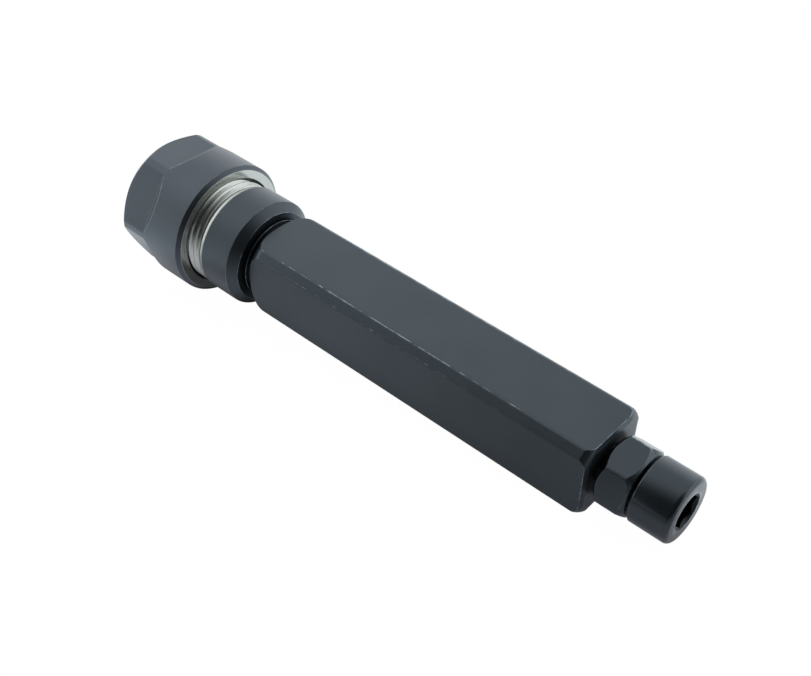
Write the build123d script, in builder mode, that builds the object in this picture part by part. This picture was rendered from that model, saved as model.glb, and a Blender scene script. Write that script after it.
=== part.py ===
from build123d import *
import os
from math import cos, hypot, radians, sin, tan

# Square-shank collet chuck for size 16 spring collets.
# The common axis is X. X = 0 is the front face of the spring collet, +X runs back along the shank.
# +Z is the normal of the shank's top flat. All sizes are in millimetres.

# Spring collet, size 16, for an 8 mm tool shank
COLLET_LENGTH = 27.5
COLLET_BIG_R = 8.5            # radius where the long taper starts
COLLET_BIG_X = 6.26
COLLET_FACE_R = 6.6
COLLET_RIM_R = 8.1            # front rim, in front of the extraction groove
COLLET_GROOVE_WIDTH = 2.7
COLLET_GROOVE_R = 6.9
TOOL_R = 4.0
TAPER_DEG = 8.0               # half angle of the long clamping taper
FACE_CONE_DEG = 30.0          # half angle of the short cone that the nut presses on
SLITS_EACH_WAY = 4
SLIT_WIDTH = 0.8
FRONT_SLIT_END_X = 23.5
REAR_SLIT_START_X = 7.8
COLLET_EDGE = 0.25

# Turned nose, collar and neck of the body
MOUTH_R = 8.0                 # nominal radius of the taper at the nose face
TAPER_GAP = 0.03
NOSE_CREST_R = 10.95          # crest of the M22 x 1.5 nose thread
NOSE_EDGE = 0.9
COLLAR_FRONT_X = 23.5
COLLAR_R = 11.28
COLLAR_WIDTH = 7.0
COLLAR_BEVEL = 1.65
COLLAR_EDGE = 0.2
NECK_R = 7.4
NECK_WIDTH = 1.55
RIB_R = 8.3                   # thin rib left standing in the neck
RIB_WIDTH = 0.3
RIB_GAP = 0.7                 # from the rib to the shank

# Square shank
SHANK = 16.0
SHANK_CORNER = 1.4            # leg of the bevel along the four long corners
SHANK_END_X = 113.95
SHANK_END_DEPTH = 0.32        # shallow bevel round the end face: its depth along X
SHANK_END_WIDTH = 1.05        # and its width across the end face
SHANK_FRONT_ROUND = 3.5       # profile radius that turns the corners off at the front end
SHANK_REAR_ROUND = 2.0

# Bores behind the collet
WELL_R = 5.25                 # clearance bore that takes the tail of the tool
WELL_END_X = 78.0
REAR_THREAD_R = 4.0           # M8 tapped hole, plain at its crest radius
REAR_MOUTH_EDGE = 0.5
DRILL_POINT_DEG = 59.0

# Clamping nut
NUT_FRONT_X = 0.5
NUT_REAR_X = 19.58
NUT_R = 14.0
NUT_AF = 25.0
NUT_HEX_TURN = -3.5           # turn of the hexagon about X at rest, from a flat facing +Z
NUT_FACE_R = 11.6
NUT_FLAT_END_X = 9.0
NUT_RAMP_LENGTH = 2.0         # axial length of the ramp from a flat up to the round band
NUT_REAR_EDGE = 0.78
NUT_BORE_R = 11.0
NUT_MOUTH_R = 11.5
NUT_RELIEF_R = 11.3
NUT_RELIEF_WIDTH = 1.5
NUT_POCKET_R = 8.3            # pocket round the collet's front rim
SEAT_GAP = 0.04
LIP_FRONT_X = 3.75
LIP_WIDTH = 1.85
LIP_R = 7.75                  # eccentric extraction lip
LIP_OFFSET = 0.75

# Back stop screw (M8 x 60, socket head) and its lock nut
SCREW_R = 3.95
SCREW_LENGTH = 60.0
SCREW_TIP_EDGE = 1.0
HEAD_R = 6.4
HEAD_HEIGHT = 7.8
HEAD_UNDER_X = 121.6
HEAD_ROUND = 1.3
HEAD_UNDER_EDGE = 0.25
SOCKET_AF = 6.0
SOCKET_DEPTH = 4.5
SOCKET_TURN = 12.0
SOCKET_MOUTH_R = 3.65
LOCK_AF = 12.7
LOCK_FRONT_X = 114.7
LOCK_THICKNESS = 6.35
LOCK_TURN = 14.3              # turn of the hexagon about X, from a flat facing +Z
LOCK_ROUND = 0.8              # radius of the six long edges
LOCK_FACE_R = 6.0
LOCK_CHAMFER_DEG = 45.0
LOCK_MOUTH_R = 4.35
LOCK_BORE_R = 4.0

# Values worked out from the sizes above
TAPER = tan(radians(TAPER_DEG))
FACE_CONE = tan(radians(FACE_CONE_DEG))
NOSE_X = COLLET_BIG_X + (COLLET_BIG_R - MOUTH_R) / TAPER
COLLET_SMALL_R = COLLET_BIG_R - (COLLET_LENGTH - COLLET_BIG_X) * TAPER
COLLET_RIM_X = (COLLET_RIM_R - COLLET_FACE_R) / FACE_CONE
GROOVE_X = COLLET_BIG_X - COLLET_GROOVE_WIDTH
WELL_START_X = NOSE_X + (MOUTH_R + TAPER_GAP - WELL_R) / TAPER
COLLAR_REAR_X = COLLAR_FRONT_X + COLLAR_WIDTH
NECK_X = COLLAR_REAR_X + COLLAR_BEVEL
SHANK_X = NECK_X + NECK_WIDTH
RIB_END_X = SHANK_X - RIB_GAP
RIB_X = RIB_END_X - RIB_WIDTH
SHANK_HALF = SHANK / 2
SHANK_CORNER_R = hypot(SHANK_HALF, SHANK_HALF - SHANK_CORNER)
CLEAR = 2.0                   # how far a cutting shape runs past the metal, and a joining one into it


def turned(points):
    """Revolve a closed outline of (x, radius) points about the X axis."""
    with BuildPart() as piece:
        with BuildSketch(Plane.XY):
            with BuildLine():
                Polyline(*points, close=True)
            make_face()
        revolve(axis=Axis.X)
    return piece.part


def radial_plane(angle):
    """Plane along X whose second axis points outwards at this angle about X, counted from +Z."""
    turn = radians(angle)
    outwards = Vector(0, -sin(turn), cos(turn))
    along = Vector(1, 0, 0)
    return Plane(origin=(0, 0, 0), x_dir=along, z_dir=along.cross(outwards))


# Turned front of the body: threaded nose, collar with its wide bevel, neck and the rib in it
nose_outline = [
    (NOSE_X, 0),
    (NOSE_X, NOSE_CREST_R - NOSE_EDGE),
    (NOSE_X + NOSE_EDGE, NOSE_CREST_R),
    (COLLAR_FRONT_X, NOSE_CREST_R),
    (COLLAR_FRONT_X, COLLAR_R - COLLAR_EDGE),
    (COLLAR_FRONT_X + COLLAR_EDGE, COLLAR_R),
    (COLLAR_REAR_X, COLLAR_R),
    (NECK_X, COLLAR_R - COLLAR_BEVEL),
    (NECK_X, NECK_R),
    (RIB_X, NECK_R),
    (RIB_X, RIB_R),
    (RIB_END_X, RIB_R),
    (RIB_END_X, NECK_R),
    (SHANK_X + CLEAR, NECK_R),
    (SHANK_X + CLEAR, 0),
]

# Round envelope that turns the corners off both ends of the square bar, with a different radius at each
with BuildPart() as shank_envelope:
    with BuildSketch(Plane.XY) as envelope_half:
        with Locations((SHANK_X, 0)):
            Rectangle(SHANK_END_X - SHANK_X, SHANK_CORNER_R, align=(Align.MIN, Align.MIN))
        fillet(envelope_half.vertices().group_by(Axis.Y)[-1].sort_by(Axis.X)[0], SHANK_FRONT_ROUND)
        fillet(envelope_half.vertices().sort_by(Axis.X)[-2:].sort_by(Axis.Y)[-1], SHANK_REAR_ROUND)
    revolve(axis=Axis.X)

with BuildPart() as square_bar:
    with BuildSketch(Plane.YZ.offset(SHANK_X)) as bar_section:
        Rectangle(SHANK, SHANK)
        chamfer(bar_section.vertices(), SHANK_CORNER)
    extrude(amount=SHANK_END_X - SHANK_X)
    end_face = square_bar.faces().sort_by(Axis.X)[-1]
    chamfer(end_face.edges(), SHANK_END_WIDTH, SHANK_END_DEPTH, reference=end_face)
    add(shank_envelope.part, mode=Mode.INTERSECT)

# Clamping taper, clearance bore, drill point and tapped hole, cut from the front in one outline
drill_point_x = WELL_END_X + (WELL_R - REAR_THREAD_R) * tan(radians(90 - DRILL_POINT_DEG))
bore_outline = [
    (NOSE_X - CLEAR, 0),
    (NOSE_X - CLEAR, MOUTH_R + TAPER_GAP + CLEAR * TAPER),
    (WELL_START_X, WELL_R),
    (WELL_END_X, WELL_R),
    (drill_point_x, REAR_THREAD_R),
    (SHANK_END_X - REAR_MOUTH_EDGE, REAR_THREAD_R),
    (SHANK_END_X, REAR_THREAD_R + REAR_MOUTH_EDGE),
    (SHANK_END_X + CLEAR, REAR_THREAD_R + REAR_MOUTH_EDGE),
    (SHANK_END_X + CLEAR, 0),
]

with BuildPart() as chuck_body:
    add(turned(nose_outline))
    add(square_bar.part)
    add(turned(bore_outline), mode=Mode.SUBTRACT)
chuck_body.part.label = "chuck_body"
export_step(chuck_body.part, "parts/chuck_body.step")

# Clamping nut: turned blank with its inner cone, rim pocket, lip and threaded bore
seat_shift = SEAT_GAP / cos(radians(FACE_CONE_DEG))
seat_front_r = COLLET_FACE_R + NUT_FRONT_X * FACE_CONE + seat_shift
seat_end_x = COLLET_RIM_X + (NUT_POCKET_R - COLLET_RIM_R - seat_shift) / FACE_CONE
lip_rear_x = LIP_FRONT_X + LIP_WIDTH
nut_outline = [
    (NUT_FRONT_X, seat_front_r),
    (NUT_FRONT_X, NUT_FACE_R),
    (NUT_FRONT_X + NUT_R - NUT_FACE_R, NUT_R),
    (NUT_REAR_X - NUT_REAR_EDGE, NUT_R),
    (NUT_REAR_X, NUT_R - NUT_REAR_EDGE),
    (NUT_REAR_X, NUT_MOUTH_R),
    (NUT_REAR_X - NUT_MOUTH_R + NUT_BORE_R, NUT_BORE_R),
    (lip_rear_x + NUT_RELIEF_WIDTH, NUT_BORE_R),
    (lip_rear_x + NUT_RELIEF_WIDTH, NUT_RELIEF_R),
    (lip_rear_x, NUT_RELIEF_R),
    (lip_rear_x, COLLET_GROOVE_R),
    (LIP_FRONT_X, COLLET_GROOVE_R),
    (LIP_FRONT_X, NUT_POCKET_R),
    (seat_end_x, NUT_POCKET_R),
]

# A milled flat with a ramp at its rear end, seen from the side: x against distance from the axis
flat_r = NUT_AF / 2
ramp_slope = (NUT_R - flat_r) / NUT_RAMP_LENGTH
flat_cut = [
    (NUT_FRONT_X - CLEAR, flat_r),
    (NUT_FLAT_END_X, flat_r),
    (NUT_FLAT_END_X + (NUT_R + CLEAR - flat_r) / ramp_slope, NUT_R + CLEAR),
    (NUT_FRONT_X - CLEAR, NUT_R + CLEAR),
]

with BuildPart() as clamping_nut:
    add(turned(nut_outline))
    for side in range(6):
        with BuildSketch(radial_plane(NUT_HEX_TURN + side * 60)):
            with BuildLine():
                Polyline(*flat_cut, close=True)
            make_face()
        extrude(amount=NUT_R, both=True, mode=Mode.SUBTRACT)
    with BuildSketch(Plane.YZ.offset(LIP_FRONT_X)):
        with Locations((0, LIP_OFFSET)):
            Circle(LIP_R)
    extrude(amount=LIP_WIDTH, mode=Mode.SUBTRACT)
clamping_nut.part.label = "clamping_nut"
export_step(clamping_nut.part, "parts/clamping_nut.step")

# Spring collet: front cone, rim, extraction groove and the long taper that closes it on the tool
collet_outline = [
    (0, TOOL_R),
    (0, COLLET_FACE_R),
    (COLLET_RIM_X, COLLET_RIM_R),
    (GROOVE_X, COLLET_RIM_R),
    (GROOVE_X, COLLET_GROOVE_R),
    (COLLET_BIG_X, COLLET_GROOVE_R),
    (COLLET_BIG_X, COLLET_BIG_R - COLLET_EDGE),
    (COLLET_BIG_X + COLLET_EDGE, COLLET_BIG_R - COLLET_EDGE * TAPER),
    (COLLET_LENGTH, COLLET_SMALL_R),
    (COLLET_LENGTH, TOOL_R),
]

# The slits run in from both ends in turn, so that the whole length stays one springy piece
with BuildPart() as spring_collet:
    add(turned(collet_outline))
    slit_pitch = 360 / SLITS_EACH_WAY
    for slit in range(SLITS_EACH_WAY):
        for start_x, end_x, turn in (
            (-CLEAR, FRONT_SLIT_END_X, 0.0),
            (REAR_SLIT_START_X, COLLET_LENGTH + CLEAR, slit_pitch / 2),
        ):
            with BuildSketch(radial_plane(slit * slit_pitch + turn)):
                with Locations(((start_x + end_x) / 2, (COLLET_BIG_R + CLEAR) / 2)):
                    Rectangle(end_x - start_x, COLLET_BIG_R + CLEAR)
            extrude(amount=SLIT_WIDTH / 2, both=True, mode=Mode.SUBTRACT)
spring_collet.part.label = "spring_collet"
export_step(spring_collet.part, "parts/spring_collet.step")

# Back stop screw: rod, round head with a hexagon socket and its drill point
head_top_x = HEAD_UNDER_X + HEAD_HEIGHT
screw_tip_x = HEAD_UNDER_X - SCREW_LENGTH
socket_corner_r = SOCKET_AF / 2 / cos(radians(30))
socket_floor_x = head_top_x - SOCKET_DEPTH
screw_outline = [
    (screw_tip_x, 0),
    (screw_tip_x, SCREW_R - SCREW_TIP_EDGE),
    (screw_tip_x + SCREW_TIP_EDGE, SCREW_R),
    (HEAD_UNDER_X, SCREW_R),
    (HEAD_UNDER_X, HEAD_R - HEAD_UNDER_EDGE),
    (HEAD_UNDER_X + HEAD_UNDER_EDGE, HEAD_R),
    (head_top_x, HEAD_R),
    (head_top_x, 0),
]
socket_point = [
    (socket_floor_x - SOCKET_AF / 2 * tan(radians(90 - DRILL_POINT_DEG)), 0),
    (socket_floor_x, SOCKET_AF / 2),
    (socket_floor_x, 0),
]
socket_mouth = [
    (head_top_x - SOCKET_MOUTH_R + SOCKET_AF / 2, 0),
    (head_top_x - SOCKET_MOUTH_R + SOCKET_AF / 2, SOCKET_AF / 2),
    (head_top_x, SOCKET_MOUTH_R),
    (head_top_x, 0),
]

with BuildPart() as stop_screw:
    add(turned(screw_outline))
    fillet(stop_screw.edges().group_by(Axis.X)[-1], HEAD_ROUND)
    with BuildSketch(Plane.YZ.offset(socket_floor_x)):
        RegularPolygon(socket_corner_r, 6, rotation=SOCKET_TURN)
    extrude(amount=SOCKET_DEPTH, mode=Mode.SUBTRACT)
    add(turned(socket_point), mode=Mode.SUBTRACT)
    add(turned(socket_mouth), mode=Mode.SUBTRACT)
stop_screw.part.label = "stop_screw"
export_step(stop_screw.part, "parts/stop_screw.step")

# Lock nut: hexagon with soft long edges, its corners turned away at both faces, and a bevelled bore
lock_rear_x = LOCK_FRONT_X + LOCK_THICKNESS
lock_corner_r = LOCK_AF / 2 / cos(radians(30))
lock_chamfer_length = (lock_corner_r - LOCK_FACE_R) * tan(radians(LOCK_CHAMFER_DEG))
lock_envelope = [
    (LOCK_FRONT_X, 0),
    (LOCK_FRONT_X, LOCK_FACE_R),
    (LOCK_FRONT_X + lock_chamfer_length, lock_corner_r),
    (lock_rear_x - lock_chamfer_length, lock_corner_r),
    (lock_rear_x, LOCK_FACE_R),
    (lock_rear_x, 0),
]
lock_mouth = LOCK_MOUTH_R - LOCK_BORE_R
lock_bore = [
    (LOCK_FRONT_X, 0),
    (LOCK_FRONT_X, LOCK_MOUTH_R),
    (LOCK_FRONT_X + lock_mouth, LOCK_BORE_R),
    (lock_rear_x - lock_mouth, LOCK_BORE_R),
    (lock_rear_x, LOCK_MOUTH_R),
    (lock_rear_x, 0),
]

with BuildPart() as lock_nut:
    with BuildSketch(Plane.YZ.offset(LOCK_FRONT_X)) as lock_section:
        RegularPolygon(lock_corner_r, 6, rotation=LOCK_TURN)
        fillet(lock_section.vertices(), LOCK_ROUND)
    extrude(amount=LOCK_THICKNESS)
    add(turned(lock_envelope), mode=Mode.INTERSECT)
    add(turned(lock_bore), mode=Mode.SUBTRACT)
lock_nut.part.label = "lock_nut"
export_step(lock_nut.part, "parts/lock_nut.step")
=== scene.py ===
"""Square-shank collet chuck: spring collet, clamping nut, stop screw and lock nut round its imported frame.

The file is laid out as an add-on. Each operator makes one piece, or gives a CAD node its finish.

A turned piece is one closed surface about the axis X. It starts from a closed outline in the plane of the
axis, a row of corners (x, radius), where each corner may change with the angle about X, as on a hexagon. The
corners are rounded, and the outlines of neighbouring angles are joined. Angles are counted from +Z towards
-Y. All lengths are in metres.
"""

import bpy
import math
import numpy as np
from typing import NamedTuple
from bpy.props import FloatProperty, FloatVectorProperty, PointerProperty
from bpy.types import NodeSocket, Operator, Panel, PropertyGroup
from mathutils import Matrix, Vector


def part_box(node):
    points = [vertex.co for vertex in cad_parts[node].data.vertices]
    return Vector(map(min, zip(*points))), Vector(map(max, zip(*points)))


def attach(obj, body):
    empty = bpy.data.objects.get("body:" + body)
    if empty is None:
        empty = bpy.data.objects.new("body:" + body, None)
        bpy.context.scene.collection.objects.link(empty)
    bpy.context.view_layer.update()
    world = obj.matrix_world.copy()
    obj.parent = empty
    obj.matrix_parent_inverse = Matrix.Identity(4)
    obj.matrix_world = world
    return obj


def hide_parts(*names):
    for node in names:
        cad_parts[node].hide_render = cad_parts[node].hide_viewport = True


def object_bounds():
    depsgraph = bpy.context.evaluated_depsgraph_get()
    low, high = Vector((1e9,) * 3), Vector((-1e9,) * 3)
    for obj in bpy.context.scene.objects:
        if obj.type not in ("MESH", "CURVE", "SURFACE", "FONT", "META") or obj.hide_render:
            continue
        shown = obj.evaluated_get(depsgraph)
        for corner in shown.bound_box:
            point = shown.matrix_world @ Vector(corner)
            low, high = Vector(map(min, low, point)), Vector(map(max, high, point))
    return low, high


bl_info = {
    "name": "Collet Chuck",
    "version": (1, 0, 0),
    "blender": (4, 5, 0),
    "location": "3D View > Sidebar > Collet Chuck",
    "description": "Makes a square-shank collet chuck round its packed frame",
    "category": "Add Mesh",
}

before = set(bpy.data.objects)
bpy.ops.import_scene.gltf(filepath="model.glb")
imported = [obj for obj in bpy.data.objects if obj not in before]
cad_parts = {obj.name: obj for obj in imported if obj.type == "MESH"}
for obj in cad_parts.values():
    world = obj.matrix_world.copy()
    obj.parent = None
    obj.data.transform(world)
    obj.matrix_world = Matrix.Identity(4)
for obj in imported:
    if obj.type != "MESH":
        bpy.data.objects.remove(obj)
CAD_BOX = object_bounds()

MM = 0.001
TURN = 2 * math.pi
WELD = 1e-8  # points nearer than this are one point
COLLET_WELD = 1e-6  # the same, for the collet's CAD mesh
APART = 0.02 * MM  # keeps apart two corners or surfaces that would meet

BODY_LOW, BODY_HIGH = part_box("chuck_body")
NUT_LOW, NUT_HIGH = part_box("clamping_nut")
SCREW_LOW, SCREW_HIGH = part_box("stop_screw")
LOCK_LOW, LOCK_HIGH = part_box("lock_nut")
NUT_RADIUS = CAD_BOX[1].y  # the nut's band is the widest thing on the chuck

CREASE_SHARES = np.array([-1.5, -1.0, -0.65, -0.3, 0.0, 0.3, 0.65, 1.0, 1.5])  # finer angles about a crease
CREASE_CLEAR = 1.6  # even angles nearer to a crease than this share are left out

# A rounded corner
ARC_SHARES = np.array([0.0, 0.25, 0.5, 0.75, 1.0])  # where its points lie between its two ends
SIDE_SHARE = 0.4  # the most of the shorter side that it takes
HOLD = 0.22  # how far beyond it the sides are held flat, as a share of its reach
SHARPEST = 2.6  # turn in radians past which its reach grows no more
FULL_EDGE = math.radians(40)  # turn from which it wears as a full edge does
ARC_CORNERS, LAND_CORNERS = 9, 5  # corners along an arc, and along the hollow of the land

# One pitch of a thread. Each pair holds shares of the pitch, and the values there
THREAD_ROWS = np.array([0.0, 0.02, 0.11, 0.13, 0.3, 0.46, 0.5, 0.56, 0.62, 0.66, 0.83])
THREAD_HEIGHT = (
    (0.0, 0.02, 0.11, 0.13, 0.46, 0.5, 0.62, 0.66, 1.0), (0.96, 1.0, 1.0, 0.96, 0.04, 0.0, 0.0, 0.04, 0.96)
)
THREAD_EDGE = ((0.0, 0.02, 0.11, 0.13, 0.3, 0.83, 1.0), (1.0, 0.6, 0.6, 1.0, 0.0, 0.0, 1.0))
CORE_GAP = 0.15 * MM  # how far below its roots the sleeve closes
COVER = 0.1 * MM  # how far a thread reaches into what stands at its end
CORE_EDGE = 0.4 * MM  # chamfer of the rod inside the thread

# Edge values beyond what the roundings give: wear from 0 to 1, or a recess that the material darkens with
# painted shade
SHANK_ROWS = (0.1, 0.25, 0.4, 0.55, 0.7, 0.85, 0.9975)  # shares of the shank's length
LONG_EDGE_WEAR = ((0.0, 0.15, 0.3, 0.6, 0.75, 1.0), (0.7, 0.95, 1.0, 1.0, 0.9, 0.6))  # along the shank
SIDE_EDGE_WEAR = 0.8  # share of it on the edges beside the side flats
END_EDGE_WEAR = 0.8  # round the shank's rear end
FLAT_EDGE_WEAR = 0.5  # at the ends of the edges between the nut's flats
RIM_WEAR, MOUTH_WEAR = 0.4, 0.9  # inside the rim of the screw's head, and round its socket
# marks a recess, which the material darkens with painted shade
SHADED_RECESS = -1.0


def described(text, kind=FloatProperty, **settings):
    """A property. text holds its name and, after a colon, its description."""
    name, description = text.split(": ")
    return kind(name=name, description=description[0].upper() + description[1:], **settings)


def size(millimetres, text):
    """A length property, its default given in millimetres."""
    return described(text, default=millimetres * MM, min=0.0, precision=5, unit="LENGTH")


def degrees(value, text):
    """An angle property, its default given in degrees."""
    return described(text, default=math.radians(value), subtype="ANGLE")


def share(value, text, highest=1.0):
    """A plain number from 0 up to the highest."""
    return described(text, default=value, min=0.0, max=highest)


def colour(value, text):
    """A linear RGB colour property."""
    return described(text, FloatVectorProperty, default=value, size=3, min=0.0, max=1.0, subtype="COLOR")


class ChuckBodySizes(PropertyGroup):
    """Sizes of the body. Places along X start at the collet's face."""

    mouth_radius: size(8.03, "Mouth radius: clamping taper at the nose face")
    nose_edge: size(0.9, "Nose edge: chamfer at the front of the nose thread")
    collar_front: size(23.5, "Collar front: place of the collar's front face")
    collar_width: size(7.0, "Collar width: its round band")
    collar_bevel: size(1.65, "Collar bevel: leg of the wide bevel behind the collar")
    collar_edge: size(0.05, "Collar edge: chamfer at the front of the collar")
    land_radius: size(10.84, "Land radius: smooth land between the nose thread and the collar")
    land_width: size(1.15, "Land width: from the thread's end to the collar")
    land_flare: size(6.0, "Land flare: radius of the hollow by which the land widens to the collar")
    neck_radius: size(7.4, "Neck radius: between the collar and the shank")
    neck_width: size(1.55, "Neck width: between the collar and the shank")
    rib_radius: size(8.3, "Rib radius: thin rib left standing in the neck")
    rib_width: size(0.3, "Rib width: the same rib, along the axis")
    rib_gap: size(0.7, "Rib gap: distance from the rib to the shank")
    shank_width: size(16.0, "Shank width: across its flats")
    shank_bevel: size(1.4, "Shank bevel: leg of the bevel along the shank's four corners")
    front_round: size(3.5, "Front round: radius that turns the corners off at the shank's front end")
    rear_round: size(2.0, "Rear round: radius that turns the corners off at the shank's rear end")
    end_depth: size(0.32, "End bevel depth: shallow bevel round the rear end, along the axis")
    end_width: size(1.05, "End bevel width: the same bevel, across the rear end")
    well_radius: size(5.25, "Well radius: clearance bore behind the collet")
    well_end: size(78.0, "Well end: place where the clearance bore ends")
    tapped_radius: size(4.0, "Tapped hole radius: hole for the stop screw")
    tapped_edge: size(0.5, "Tapped hole edge: chamfer at the hole's mouth")
    taper: degrees(8.0, "Taper: half angle of the clamping taper")
    drill_point: degrees(59.0, "Drill point: half angle of the drill's point")
    edge_break: size(0.12, "Edge break: rounding of the machined edges")
    bevel_break: size(0.3, "Bevel break: rounding of the two edges of the collar's bevel")
    rib_break: size(0.08, "Rib break: rounding of the rib's edges")
    long_edge: size(0.3, "Long edge: difference of radii over which the shank's long edges are rounded")


class ThreadSizes(PropertyGroup):
    """Sizes of the nose thread and the stop screw's thread."""

    nose_pitch: size(1.5, "Nose pitch: from crest to crest of the nose thread")
    nose_crest: size(10.95, "Nose crest radius: outside of the nose thread")
    nose_depth: size(0.87, "Nose thread depth: from its crests to its roots")
    screw_pitch: size(1.25, "Screw pitch: from crest to crest of the screw's thread")
    screw_crest: size(3.95, "Screw crest radius: outside of the screw's thread")
    screw_depth: size(0.72, "Screw thread depth: from its crests to its roots")


class ClampingNutSizes(PropertyGroup):
    """Sizes of the clamping nut. Places along X start at the collet's face."""

    across_flats: size(25.0, "Across flats: the hexagon's wrench size")
    hexagon_turn: degrees(-3.5, "Hexagon turn: about the axis, from a flat facing up")
    face_radius: size(11.6, "Face radius: front face, inside its chamfer")
    flat_end: size(9.0, "Flat end: place of the flats' rear ends")
    ramp_length: size(2.0, "Ramp length: from a flat up to the round band")
    rear_edge: size(0.78, "Rear edge: chamfer at the rear of the round band")
    bore_radius: size(11.0, "Bore radius: threaded bore")
    mouth_radius: size(11.5, "Mouth radius: the bore's mouth at the rear")
    relief_radius: size(11.3, "Relief radius: groove at the end of the nut's thread")
    relief_width: size(1.5, "Relief width: the same groove, along the axis")
    pocket_radius: size(8.3, "Pocket radius: pocket round the collet's rim")
    pocket_front: size(2.85, "Pocket front: place of the pocket's front end")
    seat_radius: size(6.935, "Seat radius: opening in the front face")
    lip_front: size(3.75, "Lip front: place of the extraction lip")
    lip_width: size(1.85, "Lip width: along the axis")
    lip_radius: size(7.75, "Lip radius: the lip's inner circle")
    lip_offset: size(0.75, "Lip offset: from the middle of that circle to the axis")
    edge_break: size(0.16, "Edge break: rounding of the nut's edges")
    flat_break: size(0.5, "Flat break: rounding of the hollow where a flat meets its ramp")
    ramp_break: size(0.75, "Ramp break: rounding of the edge where a ramp meets the round band")
    ramp_wear: share(0.8, "Ramp wear: share of the usual wear that this edge has")


class StopScrewSizes(PropertyGroup):
    """Sizes of the stop screw and its lock nut."""

    head_height: size(7.8, "Head height: along the axis")
    head_round: size(0.95, "Head round: radius of the rim at the top of the head")
    under_edge: size(0.25, "Under edge: chamfer round the underside of the head")
    tip_edge: size(1.0, "Tip edge: chamfer at the screw's tip")
    socket: size(6.0, "Socket: distance across its flats")
    socket_depth: size(4.5, "Socket depth: from the top of the head")
    socket_mouth: size(3.65, "Socket mouth: radius of the chamfer round it")
    socket_blend: size(0.1, "Socket blend: difference of radii over which its corners are rounded")
    socket_edge: size(0.05, "Socket edge: width of the small steps at its mouth and floor")
    socket_turn: degrees(12.0, "Socket turn: about the axis")
    nut_across_flats: size(12.7, "Lock nut across flats: its wrench size")
    nut_turn: degrees(14.3, "Lock nut turn: about the axis")
    nut_edge: size(0.53, "Lock nut edge: difference of radii over which its long edges are rounded")
    nut_face_radius: size(6.0, "Lock nut face radius: inside its chamfers")
    nut_chamfer: degrees(45.0, "Lock nut chamfer: angle of the chamfers on its corners")
    nut_bore: size(4.0, "Lock nut bore: radius of its bore")
    nut_mouth: size(4.35, "Lock nut mouth: radius of the bore's mouths")
    edge_break: size(0.14, "Edge break: rounding of the small edges")


class FinishSettings(PropertyGroup):
    """Colours and wear of the metal surfaces."""

    body_oxide: colour((0.069, 0.084, 0.096), "Body oxide: black oxide of the body")
    nut_oxide: colour((0.087, 0.102, 0.118), "Nut oxide: black oxide of the clamping nut")
    screw_oxide: colour((0.069, 0.083, 0.094), "Screw oxide: black oxide of the screw and lock nut")
    bare_steel: colour((0.55, 0.575, 0.55), "Bare steel: on the nose and the nut's rear face")
    worn_edge: colour((0.29, 0.345, 0.39), "Worn edge: edges where the oxide is rubbed thin")
    collet_steel: colour((0.5, 0.5, 0.49), "Collet steel: ground steel of the spring collet")
    wear: share(0.45, "Wear: how much of the edges is rubbed bright")
    oxide_roughness: share(0.36, "Oxide roughness: on the body and the clamping nut")
    screw_roughness: share(0.19, "Screw roughness: on the screw and the lock nut")
    bare_roughness: share(0.15, "Bare roughness: bare steel and rubbed edges")
    collet_roughness: share(0.27, "Collet roughness: middle of its turning marks")
    collet_bevel: size(0.08, "Collet bevel: bevel on the spring collet's edges")
    collet_sharp: degrees(28.0, "Collet sharp: turn from which an edge is bevelled")


class StageSettings(PropertyGroup):
    """Camera, floor and light."""

    lens: described("Lens: focal length of the camera", default=55.81, unit="CAMERA")
    azimuth: degrees(40.431, "Azimuth: direction of the camera round the upright axis")
    elevation: degrees(43.311, "Elevation: height of the camera above the level")
    roll: degrees(1.432, "Roll: turn of the camera about its view")
    camera_place: described(
        "Camera place: where the camera stands", FloatVectorProperty, size=3, unit="LENGTH",
        default=(178.83 * MM, -130.54 * MM, 161.70 * MM),
    )
    floor_colour: colour((0.9, 0.9, 0.9), "Floor: colour of the floor")
    floor_size: described("Floor size: width of the floor", default=4.0, unit="LENGTH")
    sky_strength: share(1.32, "Sky strength: brightness of the white surroundings", 4.0)


def from_flat(angles, sides, turn):
    """Each angle's distance from the middle of its nearest flat, for a prism of that many sides."""
    width = TURN / sides
    return np.abs((angles - turn + width / 2) % width - width / 2)


def lesser(first, second, blend):
    """The lesser of two radii, rounded where they cross: it loses blend * n^2 / 4, where n falls from 1 at
    the crossing to 0 where they are a blend apart. Returns the radius and n."""
    near = np.clip(1.0 - np.abs(first - second) / blend, 0.0, 1.0)
    return np.minimum(first, second) - blend * near**2 / 4, near


def angles_about(step, creases=(), zone=0.0):
    """The angles of one turn, a step of degrees apart, with finer ones in a zone about each crease."""
    step = math.radians(step)
    even = np.arange(0.0, TURN - step / 2, step)
    if len(creases) == 0:
        return even
    gaps = np.abs((even[:, None] - np.asarray(creases) + TURN / 2) % TURN - TURN / 2).min(axis=1)
    fine = (np.asarray(creases)[:, None] + zone * CREASE_SHARES).ravel() % TURN
    return np.sort(np.concatenate([even[gaps > CREASE_CLEAR * zone], fine]))


def hexagon_outline(across, turn, blend, step):
    """The angles of a hexagon with rounded corners, its radii there, and its nearness to a corner."""
    half = across / 2
    zone = blend / (2 * half / math.cos(TURN / 12) * math.tan(TURN / 12))
    angles = angles_about(step, [turn + (side + 0.5) * TURN / 6 for side in range(6)], zone)
    off_flat = from_flat(angles, 6, turn)
    return angles, *lesser(half / np.cos(off_flat), half / np.cos(TURN / 6 - off_flat), blend)


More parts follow.
